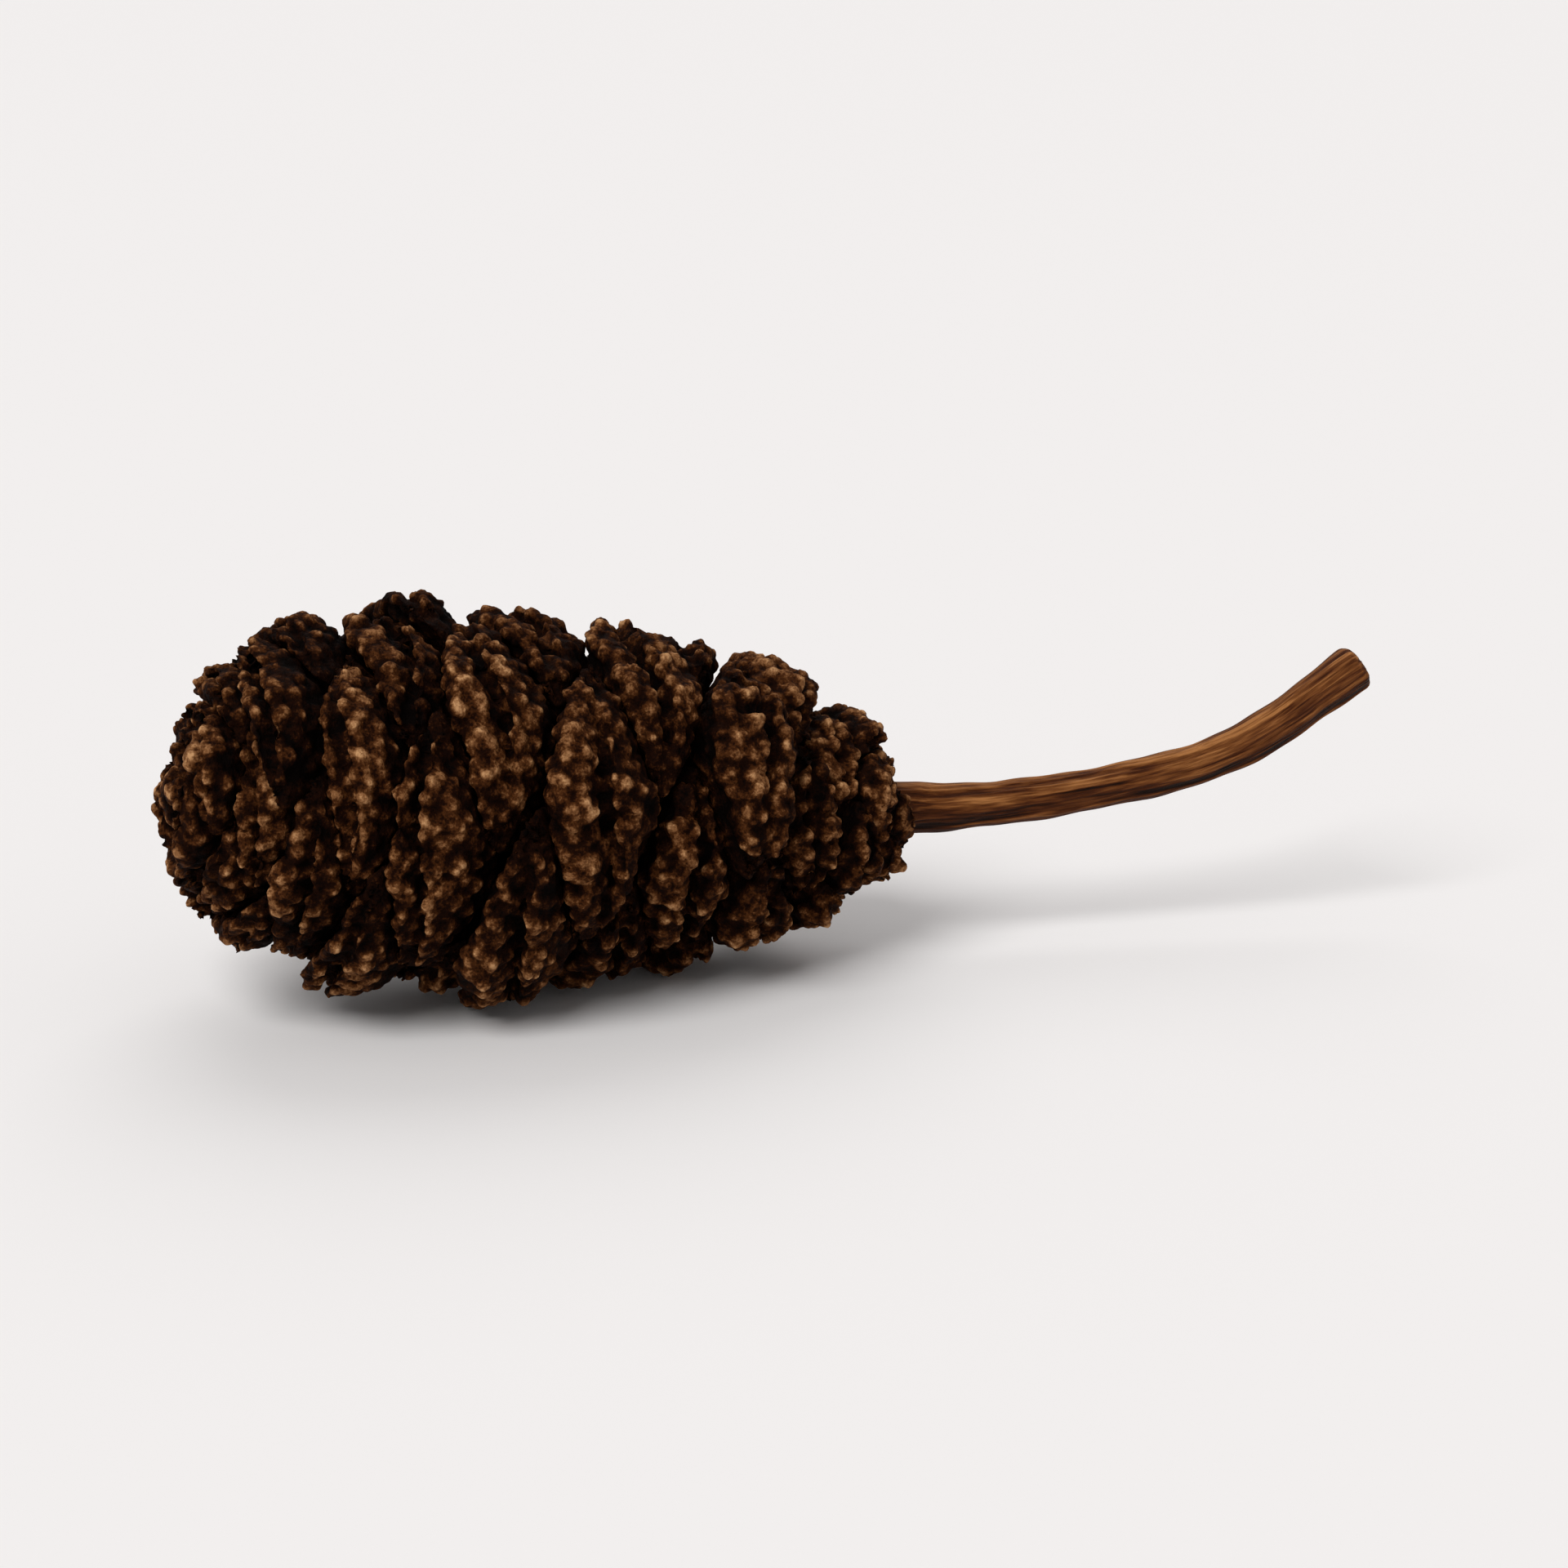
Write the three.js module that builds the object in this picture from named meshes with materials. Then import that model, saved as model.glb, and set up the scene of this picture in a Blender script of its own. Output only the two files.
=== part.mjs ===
// A dried alder cone lying on its side: a woody stem that runs on through the cone as its axis, and the
// scales that grow from it in a spiral. Millimetres, +Z up. The stem points to +X and the tip of the cone
// to -X. The origin is on the surface the cone lies on, under the middle of its box.
import * as THREE from "three";

// Driving dimensions of the cone, over the crowns of its scales
const coneLength = 21.4;
const coneWidth = 11.2;
const crownHeight = 0.95; // how far a scale's rounded crown stands out from its shoulders
const endCrownShare = 0.45; // how much of that height is left at the two ends
const crownVariation = 0.55; // the most that a crown is higher or lower than the others, as a share of it
const stemEndTaper = 0.26; // how much slimmer the stem half is than the tip half
const fullness = 0.85; // 1 is an ellipse, and less is blunter at both ends

// The spiral of scales, from the stem to the tip
const scaleCount = 58;
const turnPerScale = THREE.MathUtils.degToRad(137.508);
const neighbourSteps = [1, 2, 3, 5, 8]; // the scales that lie against a scale, counted along the spiral
const placeSpan = THREE.MathUtils.degToRad(19); // width of a scale for each place of its thickness
const scaleLean = 1; // places that a scale leans towards the tip for each radian of its width
const cornerSharpness = 9; // how far the outline follows the corners between neighbours
const widthFill = 0.97; // share of the room between its neighbours that a scale takes, across
const thicknessFill = 0.88; // and along the cone
const spiralStart = THREE.MathUtils.degToRad(16); // angle from the stem end, which leaves room for the stem
const spiralEnd = THREE.MathUtils.degToRad(170); // and for the knob at the tip
const endCrowding = 0.35; // 0 for equally thick scales, and 1 for scales that get smaller as the cone does

// Where the scales' feet meet the axis, measured from the stem end of the cone
const footStart = 2.2;
const footEnd = 17.2;
const footGap = 0.1;

// The knob that closes the tip, fuller towards the side that the last scales leave open
const knobFoot = 18.1;
const knobRadius = 0.95;
const knobLobes = 3;
const knobLobing = 0.12;
const knobLobeTurn = THREE.MathUtils.degToRad(-15);
const knobFullSide = THREE.MathUtils.degToRad(225);
const knobFullness = 0.15;

// The stem, and the axis that it becomes inside the cone
const axisRadiusAtStem = 0.9;
const axisRadiusAtTip = 0.45;
const axisTip = 18;
const stemRootRadius = 0.72;
const stemRadius = 0.58;
const stemEndRadius = 0.68;
const stemReach = 13.2; // how far the stem stands out from the cone, along the cone's axis
const stemRise = 4.9; // how far its free end has bent upwards
const stemSway = 1.1; // and sideways, towards -Y

// The attitude in which the cone lies still, on three of its crowns
const restRoll = THREE.MathUtils.degToRad(52.72);
const restPitch = THREE.MathUtils.degToRad(6.23);

// Fineness of the faces
const outlinePoints = 14;
const stemSides = 12;

const scaleWood = new THREE.MeshStandardMaterial({ color: 0x2b1a0f, roughness: 0.85, metalness: 0 });
const stemWood = new THREE.MeshStandardMaterial({ color: 0x6b4429, roughness: 0.7, metalness: 0 });

// Closed geometry through a list of rings with the same number of points, capped at the first and the last.
function loft(rings) {
  const count = rings[0].length;
  const sum = (ring) => ring.reduce((total, point) => total.add(point), new THREE.Vector3());
  const middle = (ring) => sum(ring).divideScalar(count);
  const points = [...rings.flat(), middle(rings[0]), middle(rings.at(-1))];
  const firstMiddle = points.length - 2;
  const lastMiddle = points.length - 1;
  const lastRing = (rings.length - 1) * count;
  const faces = [];
  for (let side = 0; side < count; side++) {
    const next = (side + 1) % count;
    faces.push(firstMiddle, next, side, lastMiddle, lastRing + side, lastRing + next);
    for (let ring = 0; ring < lastRing; ring += count) {
      faces.push(ring + side, ring + next, ring + count + next);
      faces.push(ring + side, ring + count + next, ring + count + side);
    }
  }
  const geometry = new THREE.BufferGeometry().setFromPoints(points);
  geometry.setIndex(faces);
  geometry.computeVertexNormals();
  return geometry;
}

// Angle along the cone's outline of a place on the spiral, from 0 at the stem end to PI at the tip.
function outlineAngle(place) {
  const share = place / scaleCount;
  const even = THREE.MathUtils.lerp(spiralStart, spiralEnd, share);
  const girthStart = Math.log(Math.tan(spiralStart / 2));
  const girthEnd = Math.log(Math.tan(spiralEnd / 2));
  const byGirth = 2 * Math.atan(Math.exp(THREE.MathUtils.lerp(girthStart, girthEnd, share)));
  return THREE.MathUtils.lerp(even, byGirth, endCrowding);
}

// Where the shoulders of the scales lie, as the distance along the cone from its stem end and out from its
// axis, and how high the crowns stand there.
function shoulder(place) {
  const angle = outlineAngle(place);
  const endCrown = endCrownShare * crownHeight;
  return {
    along: endCrown + (coneLength / 2 - endCrown) * (1 - Math.cos(angle)),
    out: (coneWidth / 2 - crownHeight) * Math.sin(angle) ** fullness * (1 - stemEndTaper * Math.cos(angle)),
    crown: THREE.MathUtils.lerp(endCrown, crownHeight, Math.sin(angle)),
  };
}

function axisRadius(along) {
  const share = THREE.MathUtils.clamp((along - footStart) / (footEnd - footStart), 0, 1);
  return THREE.MathUtils.lerp(axisRadiusAtStem, axisRadiusAtTip, share);
}

function foot(place) {
  const along = THREE.MathUtils.lerp(footStart, footEnd, place / scaleCount);
  return { along, out: axisRadius(along) + footGap };
}

// A point of the cone: reach 0 is at the feet of the scales and 1 at their shoulders, and rise is what comes
// on top of that, as a share of the height of the crowns.
function conePoint(azimuth, place, reach, rise) {
  const inner = foot(place);
  const outer = shoulder(place);
  const length = Math.hypot(outer.along - inner.along, outer.out - inner.out);
  const share = reach + (rise * outer.crown) / length;
  const along = THREE.MathUtils.lerp(inner.along, outer.along, share);
  const out = THREE.MathUtils.lerp(inner.out, outer.out, share);
  return new THREE.Vector3(-along, out * Math.cos(azimuth), out * Math.sin(azimuth));
}

// The way from one scale to the scale that is a number of steps further along the spiral: the turn about the
// axis, and the places beyond the lean, made comparable to turns.
function stepTo(steps) {
  const turn = Math.atan2(Math.sin(steps * turnPerScale), Math.cos(steps * turnPerScale));
  return new THREE.Vector2(turn, (steps - scaleLean * turn) * placeSpan);
}

const neighbours = neighbourSteps.flatMap((steps) => [stepTo(steps), stepTo(-steps)]);

// The outline of a scale about its own middle, as turns about the axis (x) and places beyond the lean (y).
// Each neighbour cuts it off halfway, and the corners between neighbours are rounded.
const outline = Array.from({ length: outlinePoints }, (_, i) => {
  const angle = (-2 * Math.PI * i) / outlinePoints;
  const direction = new THREE.Vector2(Math.cos(angle), Math.sin(angle));
  const crowding = neighbours.reduce((sum, neighbour) => {
    const share = Math.max(0, (2 * direction.dot(neighbour)) / neighbour.lengthSq());
    return sum + share ** cornerSharpness;
  }, 0);
  const half = crowding ** (-1 / cornerSharpness);
  return new THREE.Vector2(half * direction.x * widthFill, (half * direction.y * thicknessFill) / placeSpan);
});

// The sections of a scale from its foot on the axis to its crown: reach and rise as in conePoint, then the
// shares of the outline's width and thickness.
const sections = [
  { reach: 0, rise: 0, width: 0.45, thickness: 0.3 },
  { reach: 0.42, rise: 0, width: 0.7, thickness: 0.36 },
  { reach: 0.66, rise: 0, width: 0.92, thickness: 0.68 },
  { reach: 0.84, rise: 0, width: 1, thickness: 0.96 },
  { reach: 1, rise: 0, width: 1, thickness: 1 },
  { reach: 1, rise: 0.6, width: 0.84, thickness: 0.8 },
  { reach: 1, rise: 0.93, width: 0.5, thickness: 0.42 },
];

// Evenly spread numbers from -1 to 1 that look unordered, the same on every run.
function variation(number) {
  const share = number * (Math.sqrt(3) - 1);
  return 2 * (share - Math.floor(share)) - 1;
}

// The scales are numbered from 1 at the stem.
function makeScale(number) {
  const place = number - 0.5;
  const azimuth = number * turnPerScale;
  const lift = crownVariation * variation(number);
  const rings = sections.map(({ reach, rise, width, thickness }) =>
    outline.map(({ x, y }) => {
      const turn = x * width;
      return conePoint(azimuth + turn, place + y * thickness + scaleLean * turn, reach, rise + lift * reach);
    }),
  );
  const mesh = new THREE.Mesh(loft(rings), scaleWood);
  mesh.name = "scale_" + String(number).padStart(2, "0");
  return mesh;
}

// The last scales, too small and crowded to part, that close the tip.
function makeTipKnob() {
  const knobLength = coneLength - knobFoot;
  const knobSections = [
    { along: 0, radius: 0.55 },
    { along: 0.35, radius: 0.7 },
    { along: 0.65, radius: 1 },
    { along: 0.84, radius: 0.92 },
    { along: 0.96, radius: 0.6 },
  ];
  const rings = knobSections.map(({ along, radius }) =>
    outline.map((_, i) => {
      const angle = (-2 * Math.PI * i) / outlinePoints;
      const lobing = knobLobing * Math.cos(knobLobes * (angle - knobLobeTurn));
      const out = radius * knobRadius * (1 + lobing + knobFullness * Math.cos(angle - knobFullSide));
      return new THREE.Vector3(-knobFoot - along * knobLength, out * Math.cos(angle), out * Math.sin(angle));
    }),
  );
  const mesh = new THREE.Mesh(loft(rings), scaleWood);
  mesh.name = "tip_knob";
  return mesh;
}

// The stem's centre line, from the tip of the axis inside the cone to the free end, which bends upwards.
function stemPath() {
  const up = new THREE.Vector3(0, Math.sin(restRoll), Math.cos(restRoll));
  const side = new THREE.Vector3(0, -Math.cos(restRoll), Math.sin(restRoll));
  const bent = (along, rise, sway) => {
    const point = new THREE.Vector3(along, 0, 0);
    return point.addScaledVector(up, rise * stemRise).addScaledVector(side, sway * stemSway);
  };
  return new THREE.CatmullRomCurve3(
    [
      bent(-axisTip, 0, 0),
      bent(-axisTip / 2, 0, 0),
      bent(-footStart, 0, 0),
      bent(0.1 * stemReach, 0.02, 0.1),
      bent(0.4 * stemReach, 0.16, 0.5),
      bent(0.72 * stemReach, 0.45, 0.9),
      bent(stemReach, 1, 1),
    ],
    false,
    "centripetal",
  );
}

function stemRadiusAt(along) {
  if (along < -footStart) return axisRadius(-along);
  if (along < 0) return THREE.MathUtils.lerp(stemRootRadius, axisRadiusAtStem, -along / footStart);
  const share = along / stemReach;
  const rootSwelling = (stemRootRadius - stemRadius) * (1 - share) ** 4;
  const endSwelling = (stemEndRadius - stemRadius) * share ** 4;
  return stemRadius + rootSwelling + endSwelling;
}

function makeStem() {
  const path = stemPath();
  const steps = 34;
  const rings = [];
  for (let step = 0; step <= steps; step++) {
    const centre = path.getPointAt(step / steps);
    const ahead = path.getTangentAt(step / steps);
    const right = new THREE.Vector3(0, 1, 0).cross(ahead).normalize();
    const over = ahead.clone().cross(right);
    const radius = stemRadiusAt(centre.x);
    const ring = Array.from({ length: stemSides }, (_, side) => {
      const angle = (2 * Math.PI * side) / stemSides;
      return centre
        .clone()
        .addScaledVector(right, radius * Math.cos(angle))
        .addScaledVector(over, radius * Math.sin(angle));
    });
    rings.push(ring);
  }
  const mesh = new THREE.Mesh(loft(rings), stemWood);
  mesh.name = "stem";
  return mesh;
}

const cone = new THREE.Group();
cone.add(makeStem());
for (let number = 1; number <= scaleCount; number++) cone.add(makeScale(number));
cone.add(makeTipKnob());
cone.rotation.set(restRoll, restPitch, 0, "YXZ");

// Sets the cone down on the surface, with its box centred over the origin.
const box = new THREE.Box3().setFromObject(cone, true);
const middle = box.getCenter(new THREE.Vector3());
cone.position.set(-middle.x, -middle.y, -box.min.z);

const part = new THREE.Group();
part.add(cone);

export default part;
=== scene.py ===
import math

import bpy
import numpy as np
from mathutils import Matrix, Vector


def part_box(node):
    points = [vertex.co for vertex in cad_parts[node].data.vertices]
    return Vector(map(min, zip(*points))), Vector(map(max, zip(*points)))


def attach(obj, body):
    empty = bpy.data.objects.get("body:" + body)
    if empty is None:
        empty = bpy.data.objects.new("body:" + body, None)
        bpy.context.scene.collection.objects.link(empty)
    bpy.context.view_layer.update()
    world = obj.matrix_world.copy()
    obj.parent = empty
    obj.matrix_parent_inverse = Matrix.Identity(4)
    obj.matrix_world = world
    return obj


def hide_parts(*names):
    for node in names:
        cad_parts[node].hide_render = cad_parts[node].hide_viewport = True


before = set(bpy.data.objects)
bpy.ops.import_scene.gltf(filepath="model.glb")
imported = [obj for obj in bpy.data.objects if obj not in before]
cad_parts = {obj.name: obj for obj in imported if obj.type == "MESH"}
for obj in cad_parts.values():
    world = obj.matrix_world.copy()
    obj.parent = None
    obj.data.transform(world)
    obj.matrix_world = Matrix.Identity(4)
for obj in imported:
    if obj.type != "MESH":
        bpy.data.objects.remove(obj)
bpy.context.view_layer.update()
print("frame loaded:", len(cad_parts), "nodes")
metresPerMm = 0.001

# The cone's own measures, in millimetres. Its axis is X, with the stem end at 0 and the tip towards -X.
# They are the frame's, so each piece grows where its solid lies.
cone = {
    "length": 21.4,  # over the crowns of the scales
    "width": 11.2,
    "crownHeight": 0.95,  # how far a crown stands out from its scale's shoulders
    "endCrownShare": 0.45,  # how much of that is left at the two ends
    "crownVariation": 0.55,  # the most that a scale stands higher or lower than the others, in crown heights
    "stemEndTaper": 0.26,
    "fullness": 0.85,  # 1 is an ellipse, and less is blunter at both ends
    "scaleCount": 58,
    "turnPerScale": math.radians(137.508),
    "neighbourSteps": (1, 2, 3, 5, 8),
    "placeSpan": math.radians(19),  # width of a scale for each place of its thickness
    "scaleLean": 1,  # places that a scale leans towards the tip for each radian of its width
    "cornerSharpness": 9,
    "spiralStart": math.radians(16),
    "spiralEnd": math.radians(170),
    "endCrowding": 0.35,
    "footStart": 2.2,
    "footEnd": 17.2,
    "footGap": 0.1,
    "axisRadiusAtStem": 0.9,
    "axisRadiusAtTip": 0.45,
    "restRoll": math.radians(52.72),  # the attitude in which it lies
    "restPitch": math.radians(6.23),
}


def lerp(a, b, share):
    return a + (b - a) * share


def outlineAngle(place):  # angle along the cone's outline, from 0 at the stem end to pi at the tip
    share = place / cone["scaleCount"]
    even = lerp(cone["spiralStart"], cone["spiralEnd"], share)
    girthStart = math.log(math.tan(cone["spiralStart"] / 2))
    girthEnd = math.log(math.tan(cone["spiralEnd"] / 2))
    byGirth = 2 * np.arctan(np.exp(lerp(girthStart, girthEnd, share)))
    return lerp(even, byGirth, cone["endCrowding"])


def shoulder(place):  # along the cone, out from its axis, and the height of the crowns
    angle = outlineAngle(place)
    endCrown = cone["endCrownShare"] * cone["crownHeight"]
    along = endCrown + (cone["length"] / 2 - endCrown) * (1 - np.cos(angle))
    girth = np.sin(angle) ** cone["fullness"] * (1 - cone["stemEndTaper"] * np.cos(angle))
    out = (cone["width"] / 2 - cone["crownHeight"]) * girth
    return along, out, lerp(endCrown, cone["crownHeight"], np.sin(angle))


def axisRadius(along):
    share = np.clip((along - cone["footStart"]) / (cone["footEnd"] - cone["footStart"]), 0, 1)
    return lerp(cone["axisRadiusAtStem"], cone["axisRadiusAtTip"], share)


def conePoints(azimuth, place, reach, rise):
    # Reach is 0 at the feet of the scales and 1 at their shoulders, and rise is what stands on top, in crown
    # heights.
    footAlong = lerp(cone["footStart"], cone["footEnd"], place / cone["scaleCount"])
    footOut = axisRadius(footAlong) + cone["footGap"]
    along, out, crown = shoulder(place)
    share = reach + rise * crown / np.hypot(along - footAlong, out - footOut)
    out = lerp(footOut, out, share)
    return np.column_stack((-lerp(footAlong, along, share), out * np.cos(azimuth), out * np.sin(azimuth)))


def evenVariation(number):  # from -1 to 1, evenly spread but unordered
    return 2 * ((number * (math.sqrt(3) - 1)) % 1) - 1


# The small knob of crowded scales that closes the tip.
knob = {
    "foot": 18.1,
    "radius": 0.95,
    "lobes": 3,
    "lobing": 0.12,
    "lobeTurn": math.radians(-15),
    "fullSide": math.radians(225),
    "fullness": 0.15,
    "frameSides": 14,
    # shares of its length and of its radius, in the frame
    "frameSections": ((0, 0.55), (0.35, 0.7), (0.65, 1), (0.84, 0.92), (0.96, 0.6)),
    # and as modelled, with how far each ring is drawn in between the lobes
    "sections": ((0, 0.55, 0), (0.18, 0.62, 0), (0.35, 0.7, 0), (0.5, 0.85, 0.1), (0.62, 0.98, 0.2),
                 (0.72, 1, 0.3), (0.8, 0.97, 0.4), (0.87, 0.88, 0.45), (0.93, 0.74, 0.5), (0.97, 0.56, 0.5),
                 (0.99, 0.36, 0.4), (1, 0.15, 0)),
    "sides": 60,
    "creaseSharpness": 4,  # of the creases between the lobes
    "openness": 1.6,  # its reach at the tip, where 1 is the edge of what lies open
    "relief": 0.55,  # share of the relief that a large scale has
    "voxel": 0.06,  # millimetres
}


def knobPoints(angle, lengthShare, radiusShare, drawnIn=0):
    lobe = np.cos(knob["lobes"] * (angle - knob["lobeTurn"]))
    side = 1 + knob["lobing"] * lobe + knob["fullness"] * np.cos(angle - knob["fullSide"])
    creased = 1 - drawnIn * ((1 - lobe) / 2) ** knob["creaseSharpness"]
    out = radiusShare * knob["radius"] * side * creased
    along = knob["foot"] + lengthShare * (cone["length"] - knob["foot"])
    return np.column_stack((-along, out * np.cos(angle), out * np.sin(angle)))


def restTurn(points):  # from the cone's own frame to the attitude in which it lies
    roll, pitch = cone["restRoll"], cone["restPitch"]
    aboutX = np.array(((1, 0, 0), (0, math.cos(roll), -math.sin(roll)), (0, math.sin(roll), math.cos(roll))))
    aboutY = np.array(((math.cos(pitch), 0, math.sin(pitch)), (0, 1, 0),
                       (-math.sin(pitch), 0, math.cos(pitch))))
    return points @ (aboutY @ aboutX).T


def findConePlace():  # where the frame has the cone's own origin
    sections, sides = knob["frameSections"], knob["frameSides"]
    lengthShare, radiusShare = np.repeat(sections, sides, axis=0).T
    angle = np.tile(2 * math.pi * np.arange(sides) / sides, len(sections))
    corner = restTurn(knobPoints(angle, lengthShare, radiusShare)).min(axis=0) * metresPerMm
    return np.array(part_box("tip_knob")[0]) - corner


conePlace = findConePlace()


def pointsOf(piece):
    points = np.empty(len(piece.data.vertices) * 3)
    piece.data.vertices.foreach_get("co", points)
    return points.reshape(-1, 3)


def setPoints(piece, points):
    piece.data.vertices.foreach_set("co", np.asarray(points, dtype=np.float32).ravel())
    piece.data.update()


def normalsOf(piece):
    normals = np.empty(len(piece.data.vertices) * 3, dtype=np.float32)
    piece.data.vertex_normals.foreach_get("vector", normals)
    return normals.reshape(-1, 3)


def addAttribute(piece, name, values):
    attribute = piece.data.attributes.get(name) or piece.data.attributes.new(name, "FLOAT", "POINT")
    attribute.data.foreach_set("value", np.asarray(values, dtype=np.float32))


def valuesOf(piece, name):
    values = np.empty(len(piece.data.vertices), dtype=np.float32)
    piece.data.attributes[name].data.foreach_get("value", values)
    return values


def layDown(piece):  # millimetres of the cone's own frame become metres of the shared one
    points = restTurn(pointsOf(piece)) * metresPerMm + conePlace
    points[:, 2] = np.maximum(points[:, 2], 0)  # what it lies on presses no deeper
    setPoints(piece, points)


def only(piece):
    for other in bpy.context.selected_objects:
        other.select_set(False)
    bpy.context.view_layer.objects.active = piece
    piece.select_set(True)


def turnOutwards(piece):
    only(piece)
    bpy.ops.object.mode_set(mode="EDIT")
    bpy.ops.mesh.select_all(action="SELECT")
    bpy.ops.mesh.normals_make_consistent(inside=False)
    bpy.ops.object.mode_set(mode="OBJECT")


def declare(piece, node):
    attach(piece, "root")
    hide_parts(node)


# A scale in the room between its neighbours: x in radians round the axis, y in places beyond the lean.
scaleForm = {
    "sides": 112,
    "cornerCrowding": 0.45,  # below 1, the outline's points lie closer together at its two corners
    "widthFill": 0.985,  # share of that room
    "thicknessFill": 0.95,
    # reach from foot to shoulder, and shares of the outline's width and thickness: they meet under the crowns
    "body": ((0, 0.42, 0.3), (0.25, 0.6, 0.5), (0.45, 0.85, 0.8), (0.62, 1.06, 1.04), (0.78, 1.08, 1.06),
             (0.9, 1.02, 1.02), (1, 1, 1)),
    "crownRings": 22,
    "crownTop": 0.02,  # share of the outline that the last ring keeps
    "crownSpread": 1.2,  # above 1, the rings lie closer together near the shoulder
    "ringStep": 0.001,  # between the rings while the crown is flat
    "voxel": 0.09,  # millimetres, on the largest scales
    "voxelBySize": 0.8,  # how far the voxels and the relief follow the size of a smaller scale
    "reliefBySize": 0.6,
    "toneStep": 1.7,  # keeps the tones apart from the heights
}

# A crown's two lips. Lengths along it are shares of its half width, and those across it of its half
# thickness. Heights are in crown heights.
crownForm = {
    "flatness": 2.6,  # across the crown
    "endFlatness": 7,  # and towards its two corners
    "thinning": 0.35,  # how much lower it is where the scale is thin
    "creaseDepth": (0.55, 1.2),  # between the two lips
    "creaseWidth": 0.14,
    "creaseShift": 0.25,
    "creaseWave": 0.13,
    "creasePace": (3, 5),  # radians of the wave in half the width
    "creaseMiddle": (-0.4, 0.4),  # where it is deepest
    "creaseFading": 0.5,  # how much it loses within half the width
    # Painted shade: the crease counts deeper for the colours than for the shape, so more shade is painted
    # into it.
    "creasePaintedShade": 1.3,  # how much deeper it counts for the colours
    "lobes": 5,  # on each lip
    "lobedShare": 0.86,
    "notchShift": 0.28,  # in lobes
    "notchSlant": 0.1,
    "notchWidth": 0.045,
    "notchDepth": (0.1, 0.4),
    "notchEnd": 9,  # how sharply a notch ends at the crease
    "deepest": 0.9,  # the most that all of these take off
    "swelling": 0.1,
    "swellPace": (5, 8),
    "phase": 6.3,  # radians, a whole turn
}


def outlineOfScale():
    steps = []
    for step in cone["neighbourSteps"]:
        turn = math.remainder(step * cone["turnPerScale"], 2 * math.pi)
        for side in (1, -1):
            steps.append((side * turn, side * (step - cone["scaleLean"] * turn) * cone["placeSpan"]))
    steps = np.array(steps)
    turns = 2 * math.pi * np.arange(scaleForm["sides"]) / scaleForm["sides"]
    directions = np.column_stack((np.cos(turns), scaleForm["cornerCrowding"] * np.sin(turns)))
    directions /= np.linalg.norm(directions, axis=1)[:, None]
    shares = np.maximum(0, 2 * directions @ steps.T / (steps ** 2).sum(axis=1))
    half = (shares ** cone["cornerSharpness"]).sum(axis=1) ** (-1 / cone["cornerSharpness"])
    return np.column_stack((half * directions[:, 0] * scaleForm["widthFill"],
                            half * directions[:, 1] * scaleForm["thicknessFill"] / cone["placeSpan"]))


def makeScalePattern():
    # A circle takes the outline, and is then extruded and narrowed ring by ring, from the foot to the crown.
    bpy.ops.object.select_all(action="DESELECT")
    bpy.ops.mesh.primitive_circle_add(vertices=scaleForm["sides"], radius=1, fill_type="NGON")
    pattern = bpy.context.object
    pattern.name = "scalePattern"
    outline = outlineOfScale()
    setPoints(pattern, np.column_stack((outline, np.zeros(len(outline)))))
    rings = list(scaleForm["body"])
    for ring in range(1, scaleForm["crownRings"] + 1):
        inwards = (ring / scaleForm["crownRings"]) ** scaleForm["crownSpread"]
        share = lerp(1, scaleForm["crownTop"], inwards)
        rings.append((1 + ring * scaleForm["ringStep"], share, share))  # raised later, scale by scale
    bpy.ops.object.mode_set(mode="EDIT")
    bpy.ops.mesh.select_all(action="SELECT")
    reach, width, thickness = rings[0]
    bpy.ops.transform.resize(value=(width, thickness, 1))
    for (lastReach, lastWidth, lastThickness), (reach, width, thickness) in zip(rings, rings[1:]):
        bpy.ops.mesh.extrude_region_move(TRANSFORM_OT_translate={"value": (0, 0, reach - lastReach)})
        bpy.ops.transform.resize(value=(width / lastWidth, thickness / lastThickness, 1))
    bpy.ops.mesh.poke()
    bpy.ops.object.mode_set(mode="OBJECT")
    turnOutwards(pattern)
    return pattern, outline


scalePattern, scaleOutline = makeScalePattern()
halfWidth = np.abs(scaleOutline[:, 0]).max()
halfThickness = np.abs(scaleOutline[:, 1]).max()
print("scale pattern:", len(scalePattern.data.vertices), "vertices")


def acrossScale(x, y):
    # Where each point lies between the outline's two long sides, from -1 to 1, and how thick the scale is
    # there, as a share of its greatest thickness.
    upper = scaleOutline[scaleOutline[:, 1] >= 0]
    lower = scaleOutline[scaleOutline[:, 1] <= 0]
    upper, lower = (side[np.argsort(side[:, 0])] for side in (upper, lower))
    top = np.interp(x, upper[:, 0], upper[:, 1])
    bottom = np.interp(x, lower[:, 0], lower[:, 1])
    thickness = np.maximum(top - bottom, 1e-4)
    return np.clip((2 * y - top - bottom) / thickness, -1, 1), thickness / (2 * halfThickness)


def waveAlong(u, pace, random):
    return np.sin(random.uniform(*pace) * u + random.uniform(0, crownForm["phase"]))


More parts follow.
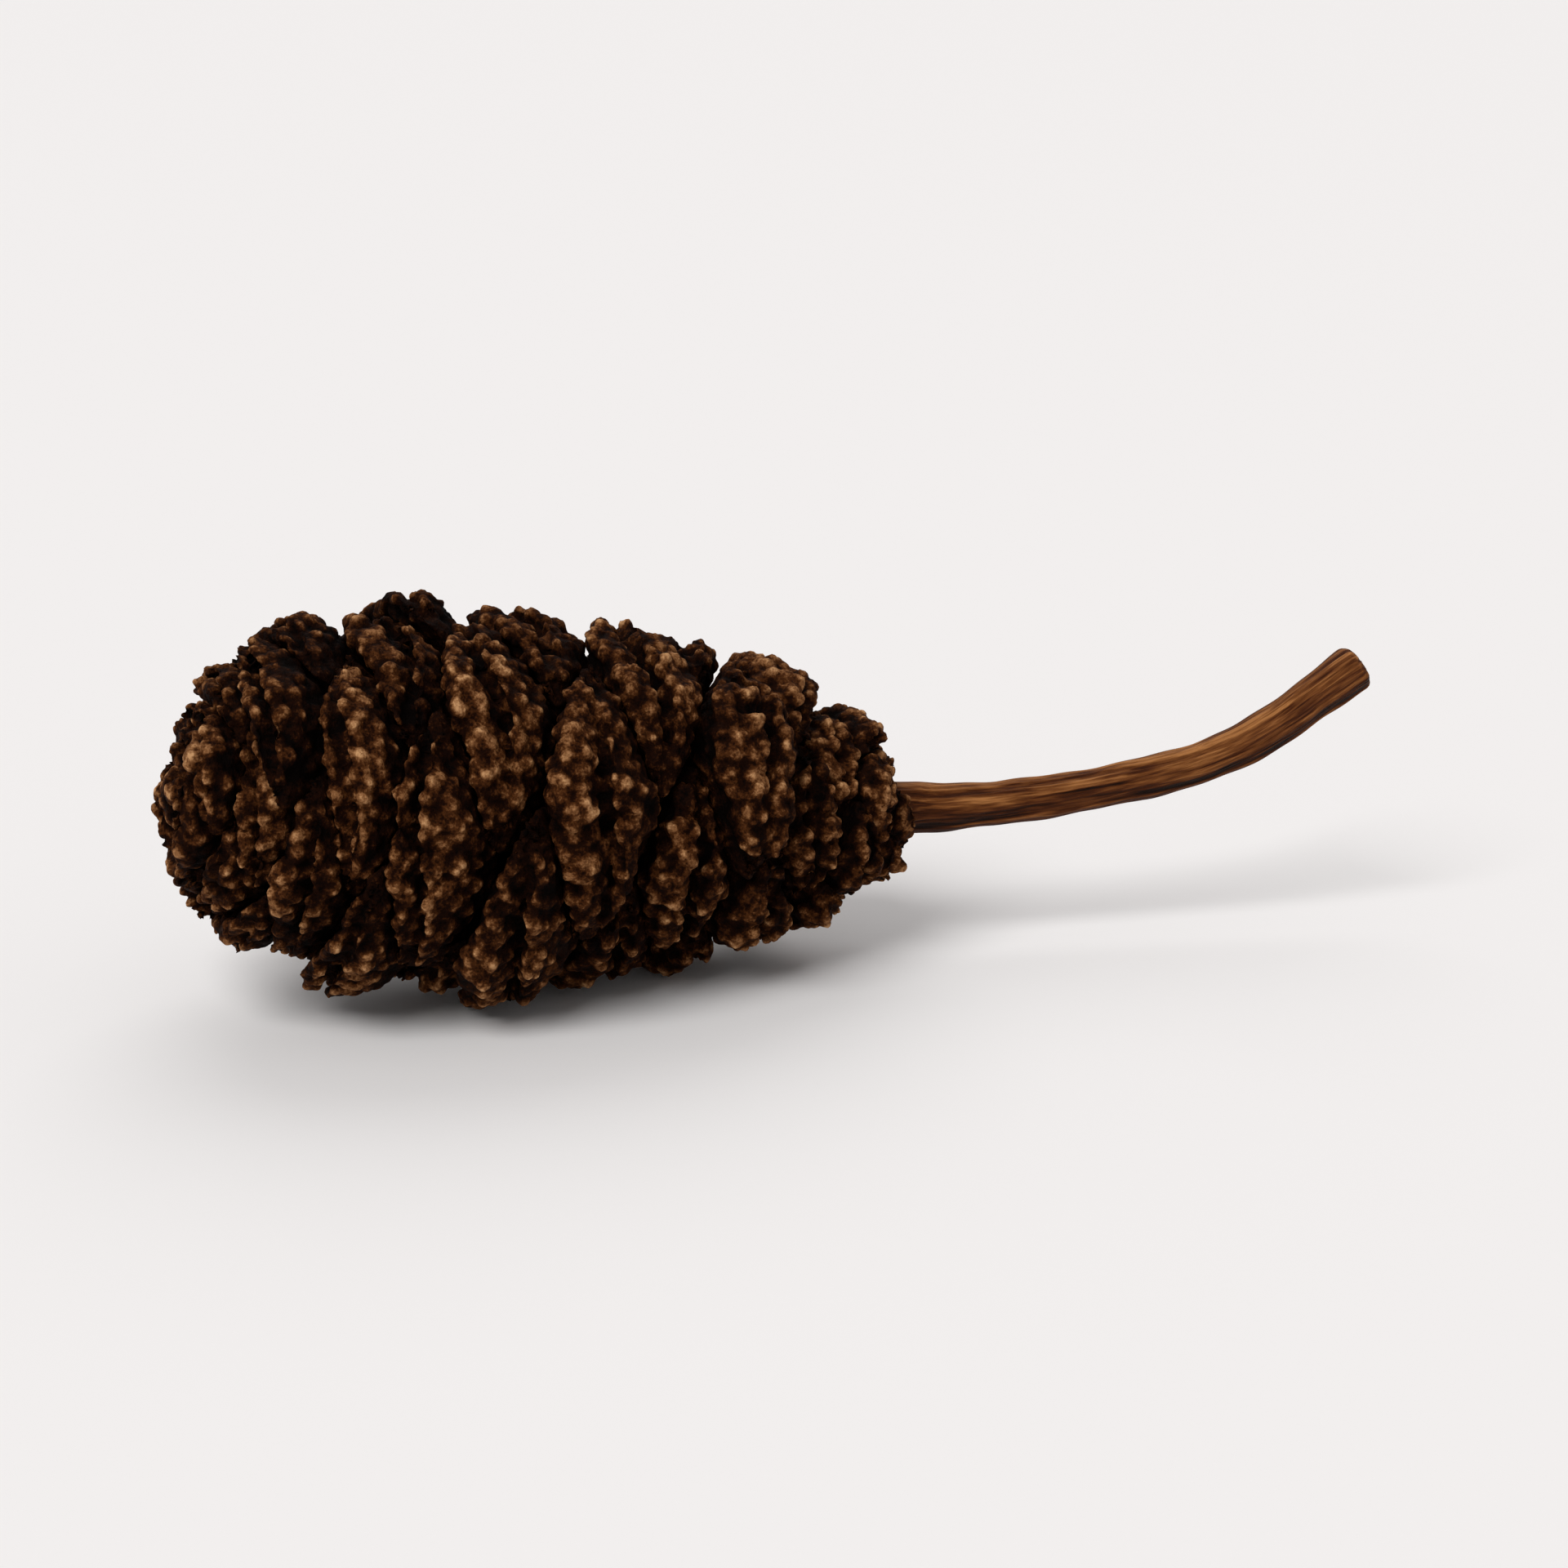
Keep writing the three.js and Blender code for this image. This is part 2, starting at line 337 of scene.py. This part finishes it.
def raiseCrown(x, y, number):
    # Two rounded lips side by side along the scale, which close at its corners, notched into lobes.
    form = crownForm
    random = np.random.default_rng(number)
    u = np.clip(x / halfWidth, -1, 1)
    v, thickness = acrossScale(x, y)
    ridge = (1 - np.abs(v) ** form["flatness"]) ** 0.5 * (1 - np.abs(u) ** form["endFlatness"]) ** 0.5
    ridge *= thickness ** form["thinning"]
    wander = form["creaseWave"] * waveAlong(u, form["creasePace"], random)
    wander += random.uniform(-form["creaseShift"], form["creaseShift"])
    fromCrease = (v - wander) * thickness / form["creaseWidth"]
    crease = np.exp(-fromCrease ** 2) * random.uniform(*form["creaseDepth"])
    crease *= 1 - form["creaseFading"] * np.abs(u - random.uniform(*form["creaseMiddle"]))
    notches = np.zeros_like(u)
    for lip in (-1, 1):
        onLip = 1 / (1 + np.exp(-lip * form["notchEnd"] * (v - wander)))
        for notch in range(1, form["lobes"]):
            place = notch + random.uniform(-form["notchShift"], form["notchShift"])
            middle = -form["lobedShare"] + 2 * form["lobedShare"] * place / form["lobes"]
            slanted = middle + random.uniform(-form["notchSlant"], form["notchSlant"]) * v
            depth = random.uniform(*form["notchDepth"])
            notches += onLip * depth * np.exp(-((u - slanted) / form["notchWidth"]) ** 2)
    swell = form["swelling"] * waveAlong(u, form["swellPace"], random)
    rise = ridge * (1 + swell - np.minimum(crease + notches, form["deepest"]))
    # Painted light and shade: lighter on the lips' crowns, with painted shade in the crease and the notches.
    paintedCrestLightAndCreaseShade = ridge * (1 - np.minimum(form["creasePaintedShade"] * crease + notches, 1))
    return rise, paintedCrestLightAndCreaseShade, thickness


def makeTexture(name, kind, size, **settings):
    texture = bpy.data.textures.new(name, kind)
    texture.noise_scale = size
    for key, value in settings.items():
        setattr(texture, key, value)
    return texture


# How the drying wood has buckled, crusted over and cracked into granules: each texture, its height and the
# level in it that stays where it was. Sizes and heights are in millimetres.
relief = {
    "buckles": (makeTexture("buckles", "CLOUDS", 1.4, noise_depth=1), 0.4, 0.5),
    "crust": (makeTexture("crust", "CLOUDS", 0.45, noise_depth=2), 0.2, 0.5),
    "granules": (makeTexture("granules", "VORONOI", 0.46), -0.27, 0.35),
}

# Where the wood is rough and where it is hidden, by the reach of its points.
covering = {
    "roughFrom": 0.72,
    "roughWithin": 0.2,  # it is fully rough that much further out
    "reliefByThickness": 2.5,  # how fast the relief gets lower where the scale is thin
    "thinRelief": 0.25,  # share of it that is left at the thin corners
    "levels": 4,
    "hiddenBelow": 0.8,
    "hiddenFaces": 0.45,  # share of the faces that hidden wood keeps
}


def roughen(piece, share):
    # What the fine relief raised or sank stays in an attribute for the colours, which paint shade into what
    # sank and light onto what rose. The hidden sides stay smooth, and the thin corners nearly so.
    outside = piece.vertex_groups.new(name="outside")
    weights = np.clip((valuesOf(piece, "reach") - covering["roughFrom"]) / covering["roughWithin"], 0, 1)
    thickness = covering["reliefByThickness"] * valuesOf(piece, "thickness")
    weights *= np.clip(thickness, covering["thinRelief"], 1)
    levels = covering["levels"]
    for level in range(1, levels + 1):
        outside.add(np.flatnonzero(np.rint(weights * levels) == level).tolist(), level / levels, "REPLACE")
    for name, (texture, height, middle) in relief.items():
        if name == "crust":
            before, normals = pointsOf(piece), normalsOf(piece)
        modifier = piece.modifiers.new(name, "DISPLACE")
        modifier.texture = texture
        modifier.texture_coords = "LOCAL"
        modifier.strength = height * share
        modifier.mid_level = middle
        modifier.vertex_group = "outside"
        bpy.ops.object.modifier_apply(modifier=name)
    addAttribute(piece, "relief", ((pointsOf(piece) - before) * normals).sum(axis=1) / share)


def thinOut(piece):  # fewer faces where the piece is hidden
    hidden = piece.vertex_groups.new(name="hidden")
    hidden.add(np.flatnonzero(valuesOf(piece, "reach") < covering["hiddenBelow"]).tolist(), 1, "REPLACE")
    modifier = piece.modifiers.new("thinOut", "DECIMATE")
    modifier.ratio = covering["hiddenFaces"]
    modifier.vertex_group = "hidden"
    bpy.ops.object.modifier_apply(modifier="thinOut")


def finishWood(piece, voxel, reliefShare, tone):
    only(piece)
    piece.data.remesh_voxel_size = voxel
    piece.data.remesh_voxel_adaptivity = 0
    piece.data.use_remesh_preserve_attributes = True
    bpy.ops.object.voxel_remesh()
    roughen(piece, reliefShare)
    thinOut(piece)
    piece.vertex_groups.clear()
    addAttribute(piece, "tone", np.full(len(piece.data.vertices), tone))
    layDown(piece)
    bpy.ops.object.shade_smooth()


def makeScale(number):
    piece = scalePattern.copy()
    piece.data = scalePattern.data.copy()
    piece.name = piece.data.name = "alderScale" + str(number).zfill(2)
    bpy.context.collection.objects.link(piece)
    x, y, z = pointsOf(piece).T
    rise, paintedCrestLightAndCreaseShade, thickness = raiseCrown(x, y, number)
    rise, paintedCrestLightAndCreaseShade = np.where(z > 1 - scaleForm["ringStep"], (rise, paintedCrestLightAndCreaseShade), 0)
    lift = cone["crownVariation"] * evenVariation(number)
    middle = number - 0.5  # its place on the spiral
    place = middle + y + cone["scaleLean"] * x
    reach = np.minimum(z, 1)
    setPoints(piece, conePoints(number * cone["turnPerScale"] + x, place, reach, rise + lift * reach))
    for name, values in (("paintedCrestLightAndCreaseShade", paintedCrestLightAndCreaseShade), ("reach", reach), ("thickness", thickness)):
        addAttribute(piece, name, values)
    size = float(shoulder(middle)[2]) / cone["crownHeight"]
    voxel = scaleForm["voxel"] * lerp(1, size, scaleForm["voxelBySize"])
    tone = evenVariation(number * scaleForm["toneStep"])
    finishWood(piece, voxel, lerp(1, size, scaleForm["reliefBySize"]), tone)
    declare(piece, "scale_" + str(number).zfill(2))
    return piece


scales = [makeScale(number) for number in range(1, cone["scaleCount"] + 1)]
bpy.data.objects.remove(scalePattern)
print("scales:", len(scales), "with", sum(len(scale.data.polygons) for scale in scales), "faces")


def makeTipKnob():
    # A circle extruded ring by ring, then shaped into three lobes that stand against each other.
    bpy.ops.object.select_all(action="DESELECT")
    bpy.ops.mesh.primitive_circle_add(vertices=knob["sides"], radius=1, fill_type="NGON")
    piece = bpy.context.object
    piece.name = piece.data.name = "tipKnob"
    bpy.ops.object.mode_set(mode="EDIT")
    bpy.ops.mesh.select_all(action="SELECT")
    for _ in knob["sections"][1:]:
        bpy.ops.mesh.extrude_region_move(TRANSFORM_OT_translate={"value": (0, 0, 1)})
    bpy.ops.object.mode_set(mode="OBJECT")
    x, y, ring = pointsOf(piece).T
    lengthShare, radiusShare, drawnIn = np.array(knob["sections"])[np.rint(ring).astype(int)].T
    angle = np.arctan2(y, x)
    setPoints(piece, knobPoints(angle, lengthShare, radiusShare, drawnIn))
    lobe = np.cos(knob["lobes"] * (angle - knob["lobeTurn"]))
    # Painted light on the lobes towards the tip, and painted shade in the creases between them and lower
    # down.
    addAttribute(piece, "paintedCrestLightAndCreaseShade", np.clip(lengthShare * 2 - 1, 0, 1) * (1 + lobe) / 2)
    addAttribute(piece, "reach", lengthShare * knob["openness"])
    addAttribute(piece, "thickness", np.ones(len(ring)))
    turnOutwards(piece)
    finishWood(piece, knob["voxel"], knob["relief"], 0)
    declare(piece, "tip_knob")
    return piece


tipKnob = makeTipKnob()
print("tip knob:", len(tipKnob.data.polygons), "faces")

# The stem, and the axis that it becomes inside the cone, in millimetres.
stemForm = {
    "axisTip": 18,
    "rootRadius": 0.72,
    "radius": 0.58,
    "endRadius": 0.68,
    "swellingSharpness": 4,  # how near the two ends it swells
    "reach": 13.2,  # how far it stands out from the cone
    "rise": 4.9,
    "sway": 1.1,
    "bends": ((0.1, 0.02, 0.1), (0.4, 0.16, 0.5), (0.72, 0.45, 0.9), (1, 1, 1)),  # shares of the last three
    "curveSteps": 60,  # between two bends
    "ribs": ((5, 0.4, 0.4), (9, 0.3, 1.3), (17, 0.2, 2.1), (31, 0.14, 0.7)),  # number, height and turn
    "ribHeight": 0.07,  # share of the radius
    "ribTwist": (0.25, 0.35),  # radians, and its pace for each millimetre
    "ribDrift": (0.4, 0.9),
    "bumps": ((0.03, 1.9, 2), (0.02, 4.1, 1)),  # share of the radius, pace along the twig and number round it
    "endRounding": 0.24,
    "endRings": 10,
    "cutRings": 9,
    "tearHeight": 0.035,
    "tearWaves": (6, 9),  # across the cut face and round it
    "tearTurn": 0.6,  # radians
    "tearStart": 1,
    "pithRadius": 0.12,
    "pithDepth": 0.1,
    "paleness": ((0, 0), (0.15, 1), (0.6, 0.9), (1, -0.6)),  # over the cut face, from its edge to the pith
    "sides": 160,
    "steps": 270,
    "seamWidth": 0.0005,
    "sharpAngle": math.radians(50),
}


def stemPath(count):
    roll = cone["restRoll"]
    up = np.array((0, math.sin(roll), math.cos(roll)))
    side = np.array((0, -math.cos(roll), math.sin(roll)))
    straight = [(-stemForm["axisTip"], 0, 0), (-stemForm["axisTip"] / 2, 0, 0), (-cone["footStart"], 0, 0)]
    bent = [(reach * stemForm["reach"], 0, 0) + rise * stemForm["rise"] * up + sway * stemForm["sway"] * side
            for reach, rise, sway in stemForm["bends"]]
    knots = np.array(straight + bent)
    # A centripetal curve through the knots, as in the frame.
    padded = np.vstack((2 * knots[0] - knots[1], knots, 2 * knots[-1] - knots[-2]))
    curve = []
    for a, b, c, d in zip(padded, padded[1:], padded[2:], padded[3:]):
        t = np.cumsum((0, *(np.linalg.norm(q - p) ** 0.5 for p, q in ((a, b), (b, c), (c, d)))))
        for s in np.linspace(t[1], t[2], stemForm["curveSteps"], endpoint=False):
            ab = lerp(a, b, (s - t[0]) / (t[1] - t[0]))
            bc = lerp(b, c, (s - t[1]) / (t[2] - t[1]))
            cd = lerp(c, d, (s - t[2]) / (t[3] - t[2]))
            abc = lerp(ab, bc, (s - t[0]) / (t[2] - t[0]))
            bcd = lerp(bc, cd, (s - t[1]) / (t[3] - t[1]))
            curve.append(lerp(abc, bcd, (s - t[1]) / (t[2] - t[1])))
    curve = np.array(curve + [knots[-1]])
    length = np.concatenate(((0,), np.cumsum(np.linalg.norm(np.diff(curve, axis=0), axis=1))))
    # Even steps, and closer ones where the cut end is worn round.
    rounding, rings = stemForm["endRounding"], stemForm["endRings"]
    even = np.linspace(0, length[-1] - rounding, count - rings)
    towardsEnd = np.sin(np.arange(1, rings + 1) / rings * math.pi / 2)
    along = np.concatenate((even, length[-1] - rounding * (1 - towardsEnd)))
    return np.column_stack([np.interp(along, length, curve[:, k]) for k in range(3)]), along


def stemRadius(along):
    share = np.clip(along / stemForm["reach"], 0, 1)
    sharpness = stemForm["swellingSharpness"]
    rootSwelling = (stemForm["rootRadius"] - stemForm["radius"]) * (1 - share) ** sharpness
    endSwelling = (stemForm["endRadius"] - stemForm["radius"]) * share ** sharpness
    inside = lerp(stemForm["rootRadius"], cone["axisRadiusAtStem"], np.clip(-along / cone["footStart"], 0, 1))
    outside = stemForm["radius"] + rootSwelling + endSwelling
    return np.where(along > 0, outside, np.where(along > -cone["footStart"], inside, axisRadius(-along)))


def stemSurface(turn, row):
    # The stem's points, for each turn round it and each row along it and over the cut face, and the values
    # that the bark's colours follow.
    form = stemForm
    step = np.minimum(row, form["steps"])
    inwards = np.maximum(row - form["steps"], 0) / (form["cutRings"] + 1)
    path, length = stemPath(form["steps"] + 1)
    ahead = np.gradient(path, axis=0)
    ahead /= np.linalg.norm(ahead, axis=1)[:, None]
    right = np.cross((0, 1, 0), ahead)
    right /= np.linalg.norm(right, axis=1)[:, None]
    over = np.cross(ahead, right)
    along = length[step]
    # Ribs and shrunken furrows along the twig, which wander slowly round it.
    twist, drift = (most * np.sin(along * pace) for most, pace in (form["ribTwist"], form["ribDrift"]))
    ribs = sum(height * np.cos(count * (turn + twist) + start + drift)
               for count, height, start in form["ribs"])
    bumps = sum(height * np.sin(along * pace + count * turn) for height, pace, count in form["bumps"])
    radius = stemRadius(path[step, 0]) * (1 + form["ribHeight"] * ribs + bumps)
    # The cut end is worn round.
    fromEnd = np.clip(1 - (length[-1] - along) / form["endRounding"], 0, 1)
    radius = (radius - form["endRounding"] * (1 - np.sqrt(1 - fromEnd ** 2))) * (1 - inwards)
    # The cut face is torn a little, and its pith has shrunk.
    wavesAcross, wavesRound = form["tearWaves"]
    across = wavesAcross * radius * np.cos(turn + form["tearTurn"]) / form["radius"] + form["tearStart"]
    torn = form["tearHeight"] * np.sin(across) * np.sin(wavesRound * turn)
    shrunk = form["pithDepth"] * np.exp(-(radius / form["pithRadius"]) ** 2)
    height = (torn - shrunk) * (inwards > 0)
    around, aside = radius * np.cos(turn), radius * np.sin(turn)
    points = path[step] + right[step] * around[:, None] + over[step] * aside[:, None]
    # The rib height is kept for painted light on the ribs and painted shade in the furrows between them.
    values = {"ribPaintedLightAndShade": ribs * (1 - inwards), "around": around / form["radius"], "aside": aside / form["radius"],
              "lengthwise": along, "cut": np.interp(inwards, *zip(*form["paleness"]))}
    return points + ahead[step] * height[:, None], values


def makeStem():
    # A sheet rolled up round the path and in over the cut end, with its seam joined and its two ends closed.
    sides, rows = stemForm["sides"], stemForm["steps"] + stemForm["cutRings"]
    bpy.ops.object.select_all(action="DESELECT")
    bpy.ops.mesh.primitive_grid_add(x_subdivisions=sides, y_subdivisions=rows, size=2)
    piece = bpy.context.object
    piece.name = piece.data.name = "alderStem"
    flat = (pointsOf(piece) + 1) / 2
    turn = math.pi * (np.rint(flat[:, 0] * sides) * 2 / sides)
    points, values = stemSurface(turn, np.rint(flat[:, 1] * rows).astype(int))
    setPoints(piece, points)
    for name, value in values.items():
        addAttribute(piece, name, value)
    bpy.ops.object.mode_set(mode="EDIT")
    bpy.ops.mesh.select_all(action="SELECT")
    bpy.ops.mesh.remove_doubles(threshold=stemForm["seamWidth"])
    bpy.ops.mesh.select_all(action="DESELECT")
    bpy.ops.mesh.select_non_manifold()
    bpy.ops.mesh.fill()
    bpy.ops.object.mode_set(mode="OBJECT")
    turnOutwards(piece)
    layDown(piece)
    # Painted light and shade: how far each point faces up, so that the bark is painted lighter on top and
    # darker below.
    addAttribute(piece, "upper", normalsOf(piece)[:, 2])
    bpy.ops.object.shade_smooth_by_angle(angle=stemForm["sharpAngle"])
    declare(piece, "stem")
    return piece


stem = makeStem()
print("stem:", len(stem.data.polygons), "faces")


def linear(hexColour):
    channels = [int(hexColour[i:i + 2], 16) / 255 for i in (1, 3, 5)]
    return [c / 12.92 if c <= 0.04045 else ((c + 0.055) / 1.055) ** 2.4 for c in channels] + [1]


def addNode(tree, kind, settings=None, inputs=None):
    node = tree.nodes.new(kind)
    for name, value in (settings or {}).items():
        setattr(node, name, value)
    for name, value in (inputs or {}).items():
        if isinstance(value, bpy.types.NodeSocket):
            tree.links.new(value, node.inputs[name])
        else:
            node.inputs[name].default_value = value
    return node


def addRamp(tree, value, stops):
    node = addNode(tree, "ShaderNodeValToRGB", None, {"Fac": value})
    ramp = node.color_ramp
    while len(ramp.elements) < len(stops):
        ramp.elements.new(0.5)  # anywhere, as all of them are placed next
    for element, (position, colour) in zip(ramp.elements, stops):
        element.position = position
        element.color = linear(colour)
    return node.outputs[0]


def weightedSum(tree, parts):
    total = 0.0
    for pattern, weight in parts:
        inputs = {0: pattern, 1: weight, 2: total}
        total = addNode(tree, "ShaderNodeMath", {"operation": "MULTIPLY_ADD"}, inputs).outputs[0]
    return total


def attributes(tree, *names):
    return [addNode(tree, "ShaderNodeAttribute", {"attribute_name": name}).outputs["Fac"] for name in names]


def perMetre(millimetres):  # texture scale for a feature of that size
    return 1 / (millimetres * metresPerMm)


def newMaterial(name, specular):
    material = bpy.data.materials.new(name)
    material.use_nodes = True
    tree = material.node_tree
    tree.nodes.clear()
    output = addNode(tree, "ShaderNodeOutputMaterial")
    shader = addNode(tree, "ShaderNodeBsdfPrincipled", None, {"Specular IOR Level": specular})
    tree.links.new(shader.outputs[0], output.inputs[0])
    return material, tree, shader


def setSurface(tree, shader, look, tone, gloss, grain):
    # The tone picks the colour, the gloss pattern goes between two roughnesses, and the grain stands out.
    colour = addRamp(tree, tone, look["colours"])
    smoothest, roughest = look["roughness"]
    rough = addNode(tree, "ShaderNodeMapRange", None,
                    {"Value": gloss, "To Min": smoothest, "To Max": roughest})
    bump = addNode(tree, "ShaderNodeBump", None,
                   {"Height": grain, "Strength": look["bumpStrength"], "Distance": look["bumpDistance"]})
    tree.links.new(colour, shader.inputs["Base Color"])
    tree.links.new(rough.outputs[0], shader.inputs["Roughness"])
    tree.links.new(bump.outputs[0], shader.inputs["Normal"])


scaleWoodLook = {
    "specular": 0.03,
    "sizes": (1.8, 0.24, 0.08),  # of its patches, specks and fine grain, in millimetres
    "detail": 4.0,
    "crispness": 0.62,
    # from painted shade in the pits and creases up to tan for dust and painted highlights
    "colours": ((0.43, "#060201"), (0.61, "#1e0b03"), (0.73, "#4a2810"), (0.85, "#8a5e3a"),
                (0.96, "#c49466")),
    "roughness": (0.55, 0.9),
    "bumpStrength": 0.8,
    "bumpDistance": 0.00012,  # metres
}


def driedScaleWood():
    # Dried woody cone scale: matt, with painted shade that makes it nearly black in its furrows, creases and
    # pits, painted light on its crests, and tan on its raised granules and specks that is partly dust and
    # wear and partly painted highlight.
    look = scaleWoodLook
    material, tree, shader = newMaterial("driedScaleWood", look["specular"])
    place = addNode(tree, "ShaderNodeTexCoord").outputs["Object"]
    paintedCrestLightAndCreaseShade, relief, tone = attributes(tree, "paintedCrestLightAndCreaseShade", "relief", "tone")
    noise = {"Vector": place, "Detail": look["detail"], "Roughness": look["crispness"]}
    patches, specksAndPaintedGlints, fine = (
        addNode(tree, "ShaderNodeTexNoise", None, {**noise, "Scale": perMetre(size)}).outputs["Fac"]
        for size in look["sizes"])
    # Painted shade and light: what the relief sank and the creases are painted dark, what it raised and the
    # crests are painted light, and the specks are painted glints as well as dust.
    height = weightedSum(tree, ((relief, 1.6), (paintedCrestLightAndCreaseShade, 0.22), (patches, 0.2), (specksAndPaintedGlints, 0.6), (fine, 0.35),
                                (tone, 0.03)))
    setSurface(tree, shader, look, height, specksAndPaintedGlints, weightedSum(tree, ((fine, 0.8), (specksAndPaintedGlints, 0.8))))
    return material


twigBarkLook = {
    "specular": 0.08,
    "scales": (2.6, 9.0),  # how many streaks and fibres there are in each radius of the twig
    "lengthwiseShare": 0.12,  # and as a share of that, in each millimetre along it
    "detail": 4.0,
    "colours": ((0.48, "#180802"), (0.64, "#462008"), (0.78, "#70411d"), (0.95, "#a66e3d")),
    "roughness": (0.4, 0.7),
    "bumpStrength": 0.8,
    "bumpDistance": 0.00015,  # metres
}


def driedTwigBark():
    # Dried twig bark: warm brown and faintly glossy, with painted light on its upper side and painted shade
    # below, and with its ribs painted light and painted shade in the shrunken furrows along it. The wood of
    # the cut end is paler.
    look = twigBarkLook
    material, tree, shader = newMaterial("driedTwigBark", look["specular"])
    around, aside, lengthwise = attributes(tree, "around", "aside", "lengthwise")
    ribPaintedLightAndShade, cut, upper = attributes(tree, "ribPaintedLightAndShade", "cut", "upper")
    stretched = addNode(tree, "ShaderNodeMath", {"operation": "MULTIPLY"},
                        {0: lengthwise, 1: look["lengthwiseShare"]})
    place = addNode(tree, "ShaderNodeCombineXYZ", None, {"X": around, "Y": aside, "Z": stretched.outputs[0]})
    noise = {"Vector": place.outputs[0], "Detail": look["detail"]}
    streaks, fibres = (addNode(tree, "ShaderNodeTexNoise", None, {**noise, "Scale": scale}).outputs["Fac"]
                       for scale in look["scales"])
    # Painted light and shade: lighter where the bark faces up and on the ribs, with painted shade below and
    # in the furrows.
    tone = weightedSum(tree, ((ribPaintedLightAndShade, 0.13), (streaks, 0.9), (fibres, 0.45), (upper, 0.13), (cut, 0.25)))
    setSurface(tree, shader, look, tone, streaks, fibres)
    return material


scaleWood = driedScaleWood()
for piece in scales + [tipKnob]:
    piece.data.materials.clear()
    piece.data.materials.append(scaleWood)
stem.data.materials.append(driedTwigBark())
print("materials done")

# Lengths are in metres.
studio = {
    "floorColour": "#efedec",
    "floorSpecular": 0.2,
    "floorRoughness": 0.9,
    "floorSize": 2,
    "wallColour": "#f2efef",
    "wallStrength": 0.4,
    "backdropColour": "#f1eeed",  # as the floor looks when lit
    "backdropRadius": 0.99,
    "backdropSegments": 64,
    "backdropRings": 32,
    # where each light stands, how many degrees wide it is and its strength
    "lights": {"keySoftbox": ((-0.55, -0.5, 0.8), 35, 2.1), "rearSoftbox": ((0.2, 0.8, 0.9), 50, 0.8)},
    "cameraAzimuth": math.radians(-18),
    "cameraElevation": math.radians(16),
    "lens": 85,
    "distance": 0.105,
    "aim": (0.0, 0.0, 0.0052),
    "clipStart": 0.001,
    "clipEnd": 10,
}


def makeFloor():
    bpy.ops.object.select_all(action="DESELECT")
    bpy.ops.mesh.primitive_plane_add(size=studio["floorSize"])
    floor = bpy.context.object
    floor.name = "studioFloor"
    # seamless matt paper, evenly pale
    material, _, shader = newMaterial("mattPaper", studio["floorSpecular"])
    shader.inputs["Base Color"].default_value = linear(studio["floorColour"])
    shader.inputs["Roughness"].default_value = studio["floorRoughness"]
    floor.data.materials.append(material)


def makeBackdrop():  # only the camera sees it, so it lights and shades nothing
    bpy.ops.object.select_all(action="DESELECT")
    bpy.ops.mesh.primitive_uv_sphere_add(segments=studio["backdropSegments"],
                                         ring_count=studio["backdropRings"],
                                         radius=studio["backdropRadius"])
    backdrop = bpy.context.object
    backdrop.name = "studioBackdrop"
    for rays in ("diffuse", "glossy", "transmission", "volume_scatter", "shadow"):
        setattr(backdrop, "visible_" + rays, False)
    material, _, shader = newMaterial("evenlyLitPaper", 0)
    shader.inputs["Base Color"].default_value = (0, 0, 0, 1)
    shader.inputs["Emission Color"].default_value = linear(studio["backdropColour"])
    shader.inputs["Emission Strength"].default_value = 1
    backdrop.data.materials.append(material)


def makeLights():  # far enough to light the whole floor evenly
    for name, (towards, width, strength) in studio["lights"].items():
        data = bpy.data.lights.new(name, "SUN")
        data.angle = math.radians(width)
        data.energy = strength
        light = bpy.data.objects.new(name, data)
        light.rotation_euler = Vector(towards).to_track_quat("Z", "Y").to_euler()
        bpy.context.scene.collection.objects.link(light)


def makeCamera():
    camera = bpy.data.objects.new("camera", bpy.data.cameras.new("camera"))
    bpy.context.scene.collection.objects.link(camera)
    azimuth, elevation = studio["cameraAzimuth"], studio["cameraElevation"]
    level = Vector((math.sin(azimuth), -math.cos(azimuth), 0)) * math.cos(elevation)
    back = level + Vector((0, 0, math.sin(elevation)))
    camera.location = Vector(studio["aim"]) + back * studio["distance"]
    camera.rotation_euler = back.to_track_quat("Z", "Y").to_euler()
    camera.data.lens = studio["lens"]
    camera.data.clip_start = studio["clipStart"]
    camera.data.clip_end = studio["clipEnd"]
    bpy.context.scene.camera = camera


def makeRoom():
    world = bpy.data.worlds.new("paleRoom")
    world.use_nodes = True
    background = world.node_tree.nodes["Background"]
    background.inputs["Color"].default_value = linear(studio["wallColour"])
    background.inputs["Strength"].default_value = studio["wallStrength"]
    bpy.context.scene.world = world
    bpy.context.scene.view_settings.view_transform = "Standard"


makeFloor()
makeBackdrop()
makeLights()
makeCamera()
makeRoom()
print("studio done")
